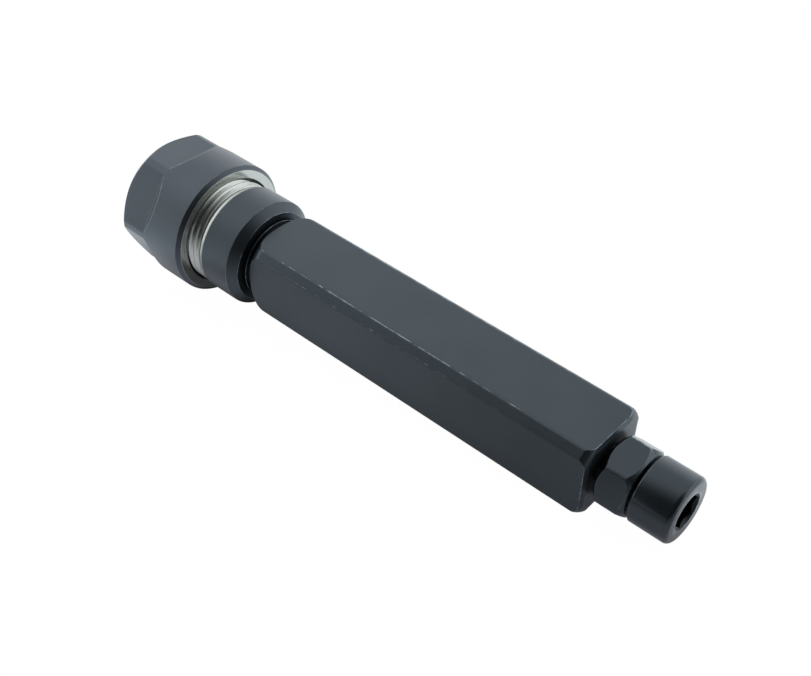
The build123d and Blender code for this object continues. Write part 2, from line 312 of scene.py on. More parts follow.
def rounded(corners, breaks):
    """Round the corners of closed outlines, all angles at once.

    corners has a row for each corner and a column for each angle, and holds (x, radius). breaks has each
    row's rounding. Around a corner C, with unit sides u and v leading away from it, the outline follows
    (1 - t)^2 (C + T u) + 2 t (1 - t) C + t^2 (C + T v), where T is the break times the tangent of half the
    turn, at most a share of the shorter side. One point more on each side keeps the flats flat. Returns the
    points and their edge: 4 t (1 - t) on an outer corner and minus that in an inner one.
    """
    # An inner corner's negative edge makes the material paint shade there
    shares = ARC_SHARES[None, :, None, None]
    back, ahead = np.roll(corners, 1, axis=0) - corners, np.roll(corners, -1, axis=0) - corners
    back_length = np.linalg.norm(back, axis=-1, keepdims=True)
    ahead_length = np.linalg.norm(ahead, axis=-1, keepdims=True)
    u, v = back / np.maximum(back_length, WELD), ahead / np.maximum(ahead_length, WELD)
    cosine = np.clip(-(u * v).sum(axis=-1, keepdims=True), -1.0, 1.0)
    turn = np.arccos(cosine)
    reach = np.asarray(breaks).reshape(-1, 1, 1) * np.tan(np.minimum(turn, SHARPEST) / 2)
    reach = np.minimum(reach, SIDE_SHARE * np.minimum(back_length, ahead_length))
    start, end = corners + reach * u, corners + reach * v
    curve = (
        (1 - shares) ** 2 * start[:, None]
        + 2 * shares * (1 - shares) * corners[:, None]
        + shares**2 * end[:, None]
    )
    held = (start + HOLD * reach * u)[:, None], (end + HOLD * reach * v)[:, None]
    curve = np.concatenate([held[0], curve, held[1]], axis=1)
    side = u[..., 0] * v[..., 1] - u[..., 1] * v[..., 0]
    weight = np.sign(side) * np.clip(turn[..., 0] / FULL_EDGE, 0, 1) * (reach[..., 0] > WELD)
    bump = np.concatenate([[0.0], (4 * shares * (1 - shares)).ravel(), [0.0]])
    edge = weight[:, None, :] * bump[None, :, None]
    columns = corners.shape[1]
    return curve.reshape(-1, columns, 2), edge.reshape(-1, columns)


class Corner(NamedTuple):
    """A corner of a closed outline in the plane of the axis. x, radius and edge are one number, or one for
    each angle. Without a rounding of its own it has the piece's usual one. It has a share of the usual
    wear, and edge adds wear to it or makes it a recess that the material darkens with painted shade. A
    bare one has no oxide from there to the next."""

    x: float
    radius: float
    rounding: float | None = None
    wear: float = 1.0
    edge: float | None = None
    bare: bool = False


def arc_corners(centre_x, centre_radius, radius, start, end, count=ARC_CORNERS):
    """Corners along an arc, from one angle at its centre to another, each a number or one for each outline.
    An angle is counted from +X towards larger radii."""
    angles = start + np.linspace(0.0, 1.0, count)[:, None] * (end - start)
    x, distance = centre_x + radius * np.cos(angles), centre_radius + radius * np.sin(angles)
    return [Corner(*place, 0.0) for place in zip(x, distance)]


def joined_rows(rows, columns):
    """Quads between neighbouring rows and columns of a grid that closes on itself both ways."""
    index = np.arange(rows * columns).reshape(rows, columns)
    below, beside = np.roll(index, -1, axis=0), np.roll(index, -1, axis=1)
    return np.stack([index, below, np.roll(below, -1, axis=1), beside], axis=-1).reshape(-1, 4)


def about_axis(x, radius, angles):
    """Points at distance radius from the axis X, turned by the angles from +Z towards -Y."""
    points = np.stack([x + 0 * radius, -radius * np.sin(angles), radius * np.cos(angles)], axis=-1)
    return points.reshape(-1, 3)


def welded(points, quads):
    """Merge the points that coincide. Returns which points stay, and the quads and triangles that are
    left."""
    keys = np.round(points / WELD).astype(np.int64)
    _, kept, index = np.unique(keys, axis=0, return_index=True, return_inverse=True)
    quads = index.reshape(-1)[quads]
    new = quads != np.roll(quads, 1, axis=1)
    corners = new.sum(axis=1)
    triangles = quads[corners == 3][new[corners == 3]].reshape(-1, 3)
    return kept, quads[corners == 4], triangles


def outward(points, quads, triangles):
    """The faces with their normals outwards: turned round if the volume they enclose comes out negative."""
    fans = np.concatenate([quads[:, :3], quads[:, [0, 2, 3]], triangles])
    a, b, c = points[fans[:, 0]], points[fans[:, 1]], points[fans[:, 2]]
    if (a * np.cross(b, c)).sum() < 0:
        return quads[:, ::-1], triangles[:, ::-1]
    return quads, triangles


def make_piece(name, coat, points, quads, values):
    """A smooth mesh object with a coat, and with each of the values as an attribute of its points."""
    kept, quads, triangles = welded(points, quads)
    points = points[kept]
    quads, triangles = outward(points, quads, triangles)
    mesh = bpy.data.meshes.new(name)
    mesh.from_pydata(points.tolist(), [], quads.tolist() + triangles.tolist())
    mesh.shade_smooth()
    for key, value in values.items():
        attribute = mesh.attributes.new(key, "FLOAT", "POINT")
        attribute.data.foreach_set("value", np.ravel(value)[kept].astype(np.float32))
    mesh.materials.append(bpy.data.materials.get(coat) or blackened_steel(coat))
    piece = bpy.data.objects.new(name, mesh)
    bpy.context.scene.collection.objects.link(piece)
    return piece


def turned_piece(name, coat, corners, usual, angles):
    """A closed turned surface: the outline of the corners, rounded, at each of the angles about the axis.
    usual is the rounding of the corners that name none."""
    corners = [Corner(*corner) for corner in corners]
    places = np.array([[np.broadcast_to(value, len(angles)) for value in corner[:2]] for corner in corners])
    breaks = [usual if corner.rounding is None else corner.rounding for corner in corners]
    points, edge = rounded(places.transpose(0, 2, 1), breaks)
    per_corner = len(points) // len(corners)
    bright = np.zeros(len(points))
    for row, corner in enumerate(corners):
        start, end = row * per_corner, (row + 1) * per_corner
        edge[start:end] *= corner.wear
        if corner.edge is not None:
            most = np.maximum(edge[start:end], corner.edge)
            edge[start:end] = np.where(np.less(corner.edge, 0.0), corner.edge, most)
        if corner.bare:
            middle = per_corner // 2
            bright[start + middle:end + middle + 1] = 1.0
    quads = joined_rows(*edge.shape)
    values = {"edge": edge, "bare": np.repeat(bright, edge.shape[1])}
    return make_piece(name, coat, about_axis(points[..., 0], points[..., 1], angles), quads, values)


def thread_piece(name, coat, start, end, pitch, crest, depth, chamfer, step, bare):
    """A right-handed thread as one closed sleeve round a hidden core.

    Row i stands at share s of a pitch, and column j at angle a. Its point is at x = start + pitch * (i's
    count of pitches - 1 + a / turn), at the radius that the profile has at s: crest, flank, root, flank. The
    last column is the first one moved by the rows of one pitch, and is joined so. The front is cut back by a
    cone, radius = crest - chamfer + (x - start), and rows past either end are gathered there at the core's
    radius.
    """
    root = crest - depth
    core = root - CORE_GAP
    profile = root + depth * np.interp(THREAD_ROWS, *THREAD_HEIGHT)
    ridge = np.interp(THREAD_ROWS, *THREAD_EDGE)
    per_pitch = len(THREAD_ROWS)
    pitches = math.ceil((end - start) / pitch) + 2
    angles = angles_about(step)
    along = (np.arange(pitches)[:, None] + THREAD_ROWS - 1).ravel()[:, None] + angles / TURN
    x = start + pitch * along
    radius = np.tile(profile, pitches)[:, None] + 0 * x
    radius = np.minimum(radius, np.maximum(crest - chamfer + (x - start), core))
    outside = (x <= start) | (x >= end)
    x, radius = np.clip(x, start, end), np.where(outside, core, radius)
    rows, columns = x.shape
    index = np.arange(rows * columns).reshape(rows, columns)
    inside_turn = np.stack([index[:-1, :-1], index[1:, :-1], index[1:, 1:], index[:-1, 1:]], axis=-1)
    last, first = index[:rows - per_pitch, -1], index[per_pitch:, 0]
    seam = np.stack([last[:-1], last[1:], first[1:], first[:-1]], axis=-1)
    bottom, top = index[0], index[-1]
    lining = np.stack([top, bottom, np.roll(bottom, -1), np.roll(top, -1)], axis=-1)
    quads = np.concatenate([inside_turn.reshape(-1, 4), seam, lining])
    values = {"edge": np.tile(ridge, pitches)[:, None] + 0 * x, "bare": np.full(x.shape, bare)}
    return make_piece(name, coat, about_axis(x, radius, angles), quads, values)


def connect(tree, node, inputs):
    """Link or set a node's inputs by their names or numbers."""
    for key, value in inputs.items():
        if isinstance(value, NodeSocket):
            tree.links.new(value, node.inputs[key])
        else:
            node.inputs[key].default_value = value


def add_node(tree, kind, inputs=None, **settings):
    """Add a shader node, set what it is told, and connect its inputs. Returns its outputs."""
    node = tree.nodes.new("ShaderNode" + kind)
    for key, value in settings.items():
        setattr(node, key, value)
    connect(tree, node, inputs or {})
    return node.outputs


def maths(tree, operation, *values):
    """The result of a Math node."""
    return add_node(tree, "Math", dict(enumerate(values)), operation=operation)[0]


def ramp(tree, value, start, end, low=0.0, high=1.0, smooth=False):
    """A value that goes from low to high while the given one goes from start to end, and stays there."""
    inputs = {0: value, 1: start, 2: end, 3: low, 4: high}
    shape = "SMOOTHSTEP" if smooth else "LINEAR"
    return add_node(tree, "MapRange", inputs, interpolation_type=shape)[0]


def noise(tree, inputs, dimensions="3D"):
    """The value of a Noise Texture node."""
    return add_node(tree, "TexNoise", inputs, noise_dimensions=dimensions)["Fac"]


def mixed(tree, factor, first, second):
    """A colour between two, by a factor."""
    first, second = (tint if isinstance(tint, NodeSocket) else (*tint, 1.0) for tint in (first, second))
    return add_node(tree, "Mix", {0: factor, 6: first, 7: second}, data_type="RGBA")[2]


def darker(shade, by):
    """A colour scaled by a number."""
    return tuple(channel * by for channel in shade)


PATCH_CONTRAST, PATCH_SHIFT = 2.0, -0.15  # of the noise that breaks up the wear
WEAR_SOFTNESS = 0.35  # how far past its limit the wear is full


def edge_wear(tree, given):
    """Rubbed edges: where the edge value times a patchy noise passes a limit set by the amount."""
    scale = maths(tree, "DIVIDE", 1.0, given["Patch Size"])
    patches = noise(tree, {"Vector": given["Vector"], "Scale": scale, "Detail": 6.0, "Roughness": 0.62})
    patchy = maths(tree, "MULTIPLY_ADD", patches, PATCH_CONTRAST, PATCH_SHIFT)
    rubbed = maths(tree, "MULTIPLY", given["Edge"], patchy)
    limit = maths(tree, "SUBTRACT", 1.0, given["Amount"])
    return {"Mask": ramp(tree, rubbed, limit, maths(tree, "ADD", limit, WEAR_SOFTNESS), smooth=True)}


RADIUS_SHARE = 1.7  # grooves pass along a flank this much faster than along X
BROAD_SCALE = 0.11  # scale of the broad bands, against that of the fine grooves


def turning_marks(tree, given):
    """Fine grooves round the axis X, as a lathe leaves them: a noise of x plus a share of the radius."""
    part = add_node(tree, "SeparateXYZ", {"Vector": given["Vector"]})
    squares = [maths(tree, "MULTIPLY", part[axis], part[axis]) for axis in "YZ"]
    radius = maths(tree, "SQRT", maths(tree, "ADD", *squares))
    along = maths(tree, "MULTIPLY_ADD", radius, RADIUS_SHARE, part["X"])
    position = maths(tree, "DIVIDE", along, given["Groove Width"])
    return {
        "Height": noise(tree, {"W": position, "Scale": 1.0, "Detail": 3.0, "Roughness": 0.7}, "1D"),
        "Shade": noise(tree, {"W": position, "Scale": BROAD_SCALE, "Detail": 2.0}, "1D"),
    }


def ground_grain(tree, given):
    """Long fine scratches along X, as grinding leaves them on a flat: a noise stretched along X."""
    squeeze = add_node(tree, "CombineXYZ", {"X": given["Stretch"], "Y": 1.0, "Z": 1.0})[0]
    stretched = add_node(tree, "VectorMath", {0: given["Vector"], 1: squeeze}, operation="MULTIPLY")[0]
    scale = maths(tree, "DIVIDE", 1.0, given["Line Width"])
    return {"Height": noise(tree, {"Vector": stretched, "Scale": scale, "Detail": 4.0, "Roughness": 0.6})}


def oxide_bloom(tree, given):
    """The uneven tone of black oxide: broad clouds, and fine specks where the etched steel is grainy."""
    clouds = maths(tree, "DIVIDE", 1.0, given["Cloud Size"])
    specks = maths(tree, "DIVIDE", 1.0, given["Speck Size"])
    return {
        "Clouds": noise(tree, {"Vector": given["Vector"], "Scale": clouds, "Detail": 4.0}),
        "Specks": noise(tree, {"Vector": given["Vector"], "Scale": specks, "Detail": 3.0}),
    }


EFFECTS = {
    "Edge wear": (edge_wear, {"Edge": 0.0, "Amount": 0.4, "Patch Size": 1.4 * MM}),
    "Turning marks": (turning_marks, {"Groove Width": 0.12 * MM}),
    "Ground grain": (ground_grain, {"Line Width": 0.15 * MM, "Stretch": 0.03}),
    "Oxide bloom": (oxide_bloom, {"Cloud Size": 9 * MM, "Speck Size": 0.16 * MM}),
}


def effect_group(name):
    """Build the node group of a shared effect. All that goes in or out is a value, apart from the place."""
    work_out, inputs = EFFECTS[name]
    tree = bpy.data.node_groups.new(name, "ShaderNodeTree")
    tree.interface.new_socket("Vector", in_out="INPUT", socket_type="NodeSocketVector")
    for key, default in inputs.items():
        tree.interface.new_socket(key, in_out="INPUT", socket_type="NodeSocketFloat").default_value = default
    results = work_out(tree, tree.nodes.new("NodeGroupInput").outputs)
    for key in results:
        tree.interface.new_socket(key, in_out="OUTPUT", socket_type="NodeSocketFloat")
    connect(tree, tree.nodes.new("NodeGroupOutput"), results)
    return tree


def effect(tree, name, inputs):
    """Place a shared effect in a material, building its group the first time. Returns its outputs."""
    group = bpy.data.node_groups.get(name) or effect_group(name)
    return add_node(tree, "Group", inputs, node_tree=group)


def new_metal(name):
    """A material. Returns it, its tree and the place on the piece."""
    material = bpy.data.materials.new(name)
    material.use_nodes = True
    return material, material.node_tree, add_node(material.node_tree, "TexCoord")["Object"]


def cover(tree, surface, rough, height, metallic, strength, distance):
    """Give the material's shader its colour, roughness and relief."""
    normal = add_node(tree, "Bump", {"Height": height, "Strength": strength, "Distance": distance})["Normal"]
    inputs = {"Base Color": surface, "Roughness": rough, "Metallic": metallic, "Normal": normal}
    connect(tree, tree.nodes["Principled BSDF"], inputs)


COATS = {
    # material: its colour and roughness among the finish settings, the machining marks and their height
    "body_oxide": ("body_oxide", "oxide_roughness", "Ground grain", 0.8),
    "nut_oxide": ("nut_oxide", "oxide_roughness", "Turning marks", 0.8),
    "bare_thread": ("body_oxide", "oxide_roughness", "Turning marks", 1.0),
    "screw_oxide": ("screw_oxide", "screw_roughness", "Turning marks", 0.5),
    "lock_nut_oxide": ("screw_oxide", "screw_roughness", "Turning marks", 0.5),
}
CLOUD_TONES = 0.86, 1.14  # of the oxide's clouds, as shares of its colour
SPECK_TONE, SPECK_SHARE = 1.2, 0.5  # tone of its specks, and how far they cover the clouds
PAINTED_SHADE_TONE = 0.25  # of the painted shade in its recesses and inner corners
WEAR_SHARE = 0.75  # how much of the oxide's colour full wear takes away
SPECK_ROUGHNESS, SPECK_HEIGHT = 0.16, 0.5  # spread of the roughness over the specks, and their height


def blackened_steel(name):
    """Black oxide on steel, rubbed bright along its edges and bare where the piece says so. Its recesses
    and inner corners are darkened with painted shade.
    """
    finish = bpy.context.scene.chuck_finish
    oxide, roughness, grain, grain_height = COATS[name]
    oxide = getattr(finish, oxide)
    material, tree, place = new_metal(name)
    edge = add_node(tree, "Attribute", attribute_name="edge")["Fac"]
    bare = add_node(tree, "Attribute", attribute_name="bare")["Fac"]
    bloom = effect(tree, "Oxide bloom", {"Vector": place})
    marks = effect(tree, grain, {"Vector": place})["Height"]
    wear = effect(tree, "Edge wear", {"Vector": place, "Edge": edge, "Amount": finish.wear})["Mask"]
    clouded = mixed(tree, bloom["Clouds"], *(darker(oxide, tone) for tone in CLOUD_TONES))
    speckled = maths(tree, "MULTIPLY", bloom["Specks"], SPECK_SHARE)
    specked = mixed(tree, speckled, clouded, darker(oxide, SPECK_TONE))
    # Painted shade: where the edge is negative, in recesses and inner corners, the oxide is darkened to a
    # share of its colour
    recess = maths(tree, "MAXIMUM", maths(tree, "MULTIPLY", edge, SHADED_RECESS), 0.0)
    with_painted_shade = mixed(tree, recess, specked, darker(oxide, PAINTED_SHADE_TONE))
    rubbed = mixed(tree, maths(tree, "MULTIPLY", wear, WEAR_SHARE), with_painted_shade, finish.worn_edge)
    surface = mixed(tree, bare, rubbed, finish.bare_steel)
    smoothest = getattr(finish, roughness) - SPECK_ROUGHNESS / 2
    rough = maths(tree, "MULTIPLY_ADD", bloom["Specks"], SPECK_ROUGHNESS, smoothest)
    rough = ramp(tree, maths(tree, "MAXIMUM", wear, bare), 0.0, 1.0, rough, finish.bare_roughness)
    specks = maths(tree, "MULTIPLY", bloom["Specks"], SPECK_HEIGHT)
    height = maths(tree, "MULTIPLY_ADD", marks, grain_height, specks)
    cover(tree, surface, rough, height, metallic=0.88, strength=0.35, distance=0.012 * MM)
    return material


GROUND_TONES = 0.85, 1.12  # of the collet's turning marks, as shares of its colour
CLOUD_TONE, CLOUD_SHARE = 0.7, 0.25  # tone of its clouds, and how far they cover it
GROUND_ROUGHNESS = 0.14  # spread of the roughness over its marks


def ground_steel(name, steel, roughness):
    """Bright ground steel with fine marks round the axis."""
    material, tree, place = new_metal(name)
    marks = effect(tree, "Turning marks", {"Vector": place, "Groove Width": 0.07 * MM})
    bloom = effect(tree, "Oxide bloom", {"Vector": place, "Cloud Size": 5 * MM})
    tone = mixed(tree, marks["Shade"], *(darker(steel, tone) for tone in GROUND_TONES))
    clouds = maths(tree, "MULTIPLY", bloom["Clouds"], CLOUD_SHARE)
    surface = mixed(tree, clouds, tone, darker(steel, CLOUD_TONE))
    smoothest = roughness - GROUND_ROUGHNESS / 2
    rough = maths(tree, "MULTIPLY_ADD", marks["Shade"], GROUND_ROUGHNESS, smoothest)
    cover(tree, surface, rough, marks["Height"], metallic=1.0, strength=0.4, distance=0.01 * MM)
    return material


def hand_over(piece, body, slot, *nodes):
    """Let the piece ride on its body, and hide the CAD nodes that it stands for. The slot is not used."""
    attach(piece, body)
    if nodes:
        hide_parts(*nodes)


class COLLETCHUCK_OT_body(Operator):
    """Make the body: nose, collar, neck and square shank in one surface"""

    bl_idname = "collet_chuck.body"
    bl_label = "Body"

    def execute(self, context):
        sizes, threads = context.scene.chuck_body_sizes, context.scene.chuck_threads
        half = sizes.shank_width / 2
        crease = math.atan2(half - sizes.shank_bevel, half)
        corner = half / math.cos(crease)
        zone = sizes.long_edge / (corner * (math.tan(crease) + math.tan(TURN / 8 - crease)))
        creases = [quarter * TURN / 4 + side * crease for quarter in range(4) for side in (-1, 1)]
        angles = angles_about(step=1.5, creases=creases, zone=zone)
        off_flat = from_flat(angles, 4, 0.0)
        bevel_plane = (2 * half - sizes.shank_bevel) / math.sqrt(2) / np.cos(TURN / 8 - off_flat)
        square, near = lesser(half / np.cos(off_flat), bevel_plane, sizes.long_edge)
        near = near * np.where(np.abs(np.cos(angles)) > math.cos(TURN / 8), 1.0, SIDE_EDGE_WEAR)

        front, rear = BODY_LOW.x, BODY_HIGH.x
        core = threads.nose_crest - threads.nose_depth - APART
        collar_rear = sizes.collar_front + sizes.collar_width
        neck = collar_rear + sizes.collar_bevel
        shank = neck + sizes.neck_width
        rib_end = shank - sizes.rib_gap
        rib = rib_end - sizes.rib_width
        collar = BODY_HIGH.y
        well_start = front + (sizes.mouth_radius - sizes.well_radius) / math.tan(sizes.taper)
        point = sizes.well_end + (sizes.well_radius - sizes.tapped_radius) / math.tan(sizes.drill_point)

        land = sizes.collar_front - sizes.land_width
        turned_land = arc_corners(
            land, sizes.land_radius + sizes.land_flare, sizes.land_flare,
            -TURN / 4, math.asin(sizes.land_width / sizes.land_flare) - TURN / 4, LAND_CORNERS,
        )
        turn_off = sizes.front_round
        round_front = corner - turn_off
        turned_front = arc_corners(
            shank + turn_off, round_front, turn_off,
            math.pi - math.asin((sizes.neck_radius - round_front) / turn_off),
            math.pi - np.arcsin(np.clip((square - round_front) / turn_off, -1.0, 1.0)),
        )
        round_x, round_rear = rear - sizes.rear_round, corner - sizes.rear_round
        meets_round = round_x + np.sqrt(np.maximum(sizes.rear_round**2 - (square - round_rear)**2, 0.0))
        start = np.minimum(meets_round, rear - sizes.end_depth)
        turned_rear = []
        for share_of_arc in np.sin(np.linspace(0.0, TURN / 4, ARC_CORNERS)):
            x = start + (rear - start) * share_of_arc
            sunk = (x - rear + sizes.end_depth) * sizes.end_width / sizes.end_depth
            chamfer = (half - sunk) / np.cos(off_flat)
            arc = round_rear + np.sqrt(np.maximum(sizes.rear_round**2 - (x - round_x)**2, 0.0))
            turned_rear.append((x, lesser(chamfer, arc, sizes.edge_break)[0]))

        collar_bevel, rib_break = sizes.bevel_break, sizes.rib_break
        turned_end = turned_front[-1].x
        rubbed = np.interp((0.0, *SHANK_ROWS), *LONG_EDGE_WEAR)
        corners = [
            (front, sizes.mouth_radius),
            (front, core - sizes.nose_edge),
            (front + sizes.nose_edge, core),
            Corner(land, core, bare=True),
            *(corner._replace(bare=True) for corner in turned_land[:-1]),
            turned_land[-1],
            (sizes.collar_front, collar - sizes.collar_edge),
            (sizes.collar_front + sizes.collar_edge, collar),
            (collar_rear, collar, collar_bevel),
            (neck, collar - sizes.collar_bevel, collar_bevel),
            (neck, sizes.neck_radius, rib_break),
            (rib, sizes.neck_radius, rib_break),
            (rib, sizes.rib_radius, rib_break),
            (rib_end, sizes.rib_radius, rib_break),
            (rib_end, sizes.neck_radius, rib_break),
            *turned_front[:-1],
            turned_front[-1]._replace(rounding=None, edge=near * rubbed[0]),
            *(
                Corner(turned_end * (1 - part) + start * part, square, 0.0, edge=near * amount)
                for part, amount in zip(SHANK_ROWS, rubbed[1:])
            ),
            Corner(*turned_rear[0], edge=END_EDGE_WEAR),
            *((*place, 0.0) for place in turned_rear[1:-1]),
            turned_rear[-1],
            (rear, sizes.tapped_radius + sizes.tapped_edge),
            (rear - sizes.tapped_edge, sizes.tapped_radius),
            (point, sizes.tapped_radius),
            (sizes.well_end, sizes.well_radius),
            (well_start, sizes.well_radius),
        ]
        piece = turned_piece("body_steel_skin", "body_oxide", corners, sizes.edge_break, angles)
        hand_over(piece, "holder", "body_steel", "chuck_body")
        return {"FINISHED"}


class COLLETCHUCK_OT_nose_thread(Operator):
    """Make the bright thread on the nose"""

    bl_idname = "collet_chuck.nose_thread"
    bl_label = "Nose thread"

    def execute(self, context):
        sizes, body = context.scene.chuck_threads, context.scene.chuck_body_sizes
        end = body.collar_front - body.land_width + COVER
        piece = thread_piece(
            "nose_thread", "bare_thread", BODY_LOW.x, end, sizes.nose_pitch, sizes.nose_crest,
            sizes.nose_depth, chamfer=body.nose_edge, step=2.5, bare=1.0,
        )
        hand_over(piece, "holder", "body_steel")
        return {"FINISHED"}


class COLLETCHUCK_OT_clamping_nut(Operator):
    """Make the clamping nut, with its six flats, their ramps and its round band"""

    bl_idname = "collet_chuck.clamping_nut"
    bl_label = "Clamping nut"

    def execute(self, context):
        sizes = context.scene.chuck_nut_sizes
        half = sizes.across_flats / 2
        crease = math.acos(half / NUT_RADIUS)
        zone = sizes.edge_break / (NUT_RADIUS * math.tan(crease))
        flats = [sizes.hexagon_turn + side * TURN / 6 for side in range(6)]
        creases = [flat + way * crease for flat in flats for way in (-1, 1)]
        angles = angles_about(step=2.5, creases=creases, zone=zone)
        off_flat = from_flat(angles, 6, sizes.hexagon_turn)
        hexagon, near = lesser(half / np.cos(off_flat), NUT_RADIUS, sizes.edge_break)
        climb = np.maximum(NUT_RADIUS * np.cos(off_flat) - half, 0.0) / (NUT_RADIUS - half)
        lip = np.sqrt(sizes.lip_radius**2 - (sizes.lip_offset * np.sin(angles)) ** 2)
        lip = lip + sizes.lip_offset * np.cos(angles)
        front, rear = NUT_LOW.x, NUT_HIGH.x
        lip_rear = sizes.lip_front + sizes.lip_width
        relief = lip_rear + sizes.relief_width
        ramp_end = sizes.flat_end + climb * sizes.ramp_length + APART
        worn = FLAT_EDGE_WEAR * near
        corners = [
            (front, sizes.seat_radius),
            (front, sizes.face_radius),
            Corner(front + hexagon - sizes.face_radius, hexagon, edge=worn),
            Corner(sizes.flat_end, hexagon, sizes.flat_break, edge=worn),
            (ramp_end, NUT_RADIUS, sizes.ramp_break, sizes.ramp_wear),
            (rear - sizes.rear_edge, NUT_RADIUS),
            Corner(rear, NUT_RADIUS - sizes.rear_edge, bare=True),
            (rear, sizes.mouth_radius),
            (rear - sizes.mouth_radius + sizes.bore_radius, sizes.bore_radius),
            (relief, sizes.bore_radius),
            (relief, sizes.relief_radius),
            (lip_rear, sizes.relief_radius),
            (lip_rear, lip),
            (sizes.lip_front, lip),
            (sizes.lip_front, sizes.pocket_radius),
            (sizes.pocket_front, sizes.pocket_radius),
        ]
        piece = turned_piece("clamping_nut_skin", "nut_oxide", corners, sizes.edge_break, angles)
        hand_over(piece, "nut", "nut_steel", "clamping_nut")
        return {"FINISHED"}


class COLLETCHUCK_OT_spring_collet(Operator):
    """Give the slit spring collet its ground finish and soft edges"""

    bl_idname = "collet_chuck.spring_collet"
    bl_label = "Spring collet"

    def execute(self, context):
        finish = context.scene.chuck_finish
        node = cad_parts["spring_collet"]
        node.data.materials.clear()
        material = ground_steel("collet_ground", finish.collet_steel, finish.collet_roughness)
        node.data.materials.append(material)
        weld = node.modifiers.new("Weld", "WELD")
        weld.merge_threshold = COLLET_WELD
        bevel = node.modifiers.new("Bevel", "BEVEL")
        bevel.width = finish.collet_bevel
        bevel.segments = 2
        bevel.limit_method = "ANGLE"
        bevel.angle_limit = finish.collet_sharp
        bevel.harden_normals = True
        return {"FINISHED"}


class COLLETCHUCK_OT_stop_screw(Operator):
    """Make the stop screw: rod, thread and round head with its hexagon socket"""

    bl_idname = "collet_chuck.stop_screw"
    bl_label = "Stop screw"

    def execute(self, context):
        sizes, threads = context.scene.chuck_screw_sizes, context.scene.chuck_threads
        angles, hexagon, _ = hexagon_outline(sizes.socket, sizes.socket_turn, sizes.socket_blend, step=4)
        tip, top, head = SCREW_LOW.x, SCREW_HIGH.x, SCREW_HIGH.y
        under = top - sizes.head_height
        root = threads.screw_crest - threads.screw_depth - APART
        half, floor = sizes.socket / 2, top - sizes.socket_depth
        point = floor - half / math.tan(context.scene.chuck_body_sizes.drill_point)
        rounding = sizes.head_round
        rim = arc_corners(top - rounding, head - rounding, rounding, TURN / 4, 0.0)
        mouth, step = sizes.socket_mouth, sizes.socket_edge
        corners = [
            (tip, 0.0, 0.0),
            (tip, root - CORE_EDGE),
            (tip + CORE_EDGE, root),
            (under, root),
            (under, head - sizes.under_edge),
            (under + sizes.under_edge, head),
            *rim[:-1],
            rim[-1]._replace(edge=RIM_WEAR),
            Corner(top, mouth, edge=MOUTH_WEAR),
            # The socket is marked as a recess, which the material darkens with painted shade
            Corner(top - 2 * step, mouth - step, edge=SHADED_RECESS),
            Corner(top - mouth + hexagon, hexagon, edge=SHADED_RECESS),
            Corner(floor, hexagon, edge=SHADED_RECESS),
            Corner(floor, half - step, edge=SHADED_RECESS),
            Corner(point, 0.0, 0.0, edge=SHADED_RECESS),
        ]
        piece = turned_piece("stop_screw_skin", "screw_oxide", corners, sizes.edge_break, angles)
        hand_over(piece, "stop", "screw_steel", "stop_screw")
        thread = thread_piece(
            "screw_thread", "screw_oxide", tip, under + 2 * COVER, threads.screw_pitch, threads.screw_crest,
            threads.screw_depth, chamfer=sizes.tip_edge, step=6, bare=0.0,
        )
        hand_over(thread, "stop", "screw_steel")
        return {"FINISHED"}


class COLLETCHUCK_OT_lock_nut(Operator):
    """Make the lock nut on the stop screw"""

    bl_idname = "collet_chuck.lock_nut"
    bl_label = "Lock nut"

    def execute(self, context):
        sizes = context.scene.chuck_screw_sizes
        angles, hexagon, near = hexagon_outline(
            sizes.nut_across_flats, sizes.nut_turn, sizes.nut_edge, step=3
        )
        chamfer = (hexagon - sizes.nut_face_radius) * math.tan(sizes.nut_chamfer)
        front, rear = LOCK_LOW.x, LOCK_HIGH.x
        mouth = sizes.nut_mouth - sizes.nut_bore
        corners = [
            (front, sizes.nut_mouth),
            (front, sizes.nut_face_radius),
            Corner(front + chamfer, hexagon, edge=near),
            Corner(rear - chamfer, hexagon, edge=near),
            (rear, sizes.nut_face_radius),
            (rear, sizes.nut_mouth),
            (rear - mouth, sizes.nut_bore),
            (front + mouth, sizes.nut_bore),
        ]
        piece = turned_piece("lock_nut_skin", "lock_nut_oxide", corners, sizes.edge_break, angles)
        hand_over(piece, "locknut", "screw_steel", "lock_nut")
        return {"FINISHED"}


def resting_plane(body, nut):
    """A point of the floor and its upright. It touches the nut's band and the shank's rear end."""
    front = Vector((NUT_HIGH.x - nut.rear_edge, 0.0, -NUT_RADIUS))
    back = Vector((BODY_HIGH.x - body.end_depth, 0.0, -body.shank_width / 2))
    along = (back - front).normalized()
    return front, Vector((0.0, 1.0, 0.0)).cross(-along).normalized()


# The floor's painted light and shadow as reflections see it. Each fade has its start and end, and the levels
# there
BEHIND = 4 * MM, 25 * MM  # over Y: the bright part behind the chuck
PAST_SHANK, SLANT = 105 * MM, 0.2  # beyond this X, its start moves nearer by this share
BEHIND_LEVEL = 0.0, 75 * MM, 1.5, 0.95  # over X
AHEAD = 10 * MM, -8 * MM  # over X: the bright part ahead of the nose
AHEAD_LEVEL = 1.1
PAST_SCREW = 115 * MM  # the X from which the distance out from the chuck is counted
# The painted shadow under the chuck, and the painted shade that grows away from it
UNDER_LEVEL = 30 * MM, 95 * MM, 0.05, 0.8  # over X
UNDER = 7 * MM, 15 * MM  # over the distance out
FALLING = 20 * MM, 55 * MM, 1.0, 0.25  # over the distance out
REARWARD = 45 * MM, 95 * MM, 0.8, 0.42  # over X
FLOOR_TINTS = (0.97, 0.98, 1.06), (0.91, 0.97, 1.0)  # of the dim part and of the bright ones
CAMERA_LEVEL = 1.02  # its light as the camera sees it
CAMERA_SHARE, GLOSSY_SHARE = 0.97, 0.7  # how far the camera and reflections see it, and not the paint


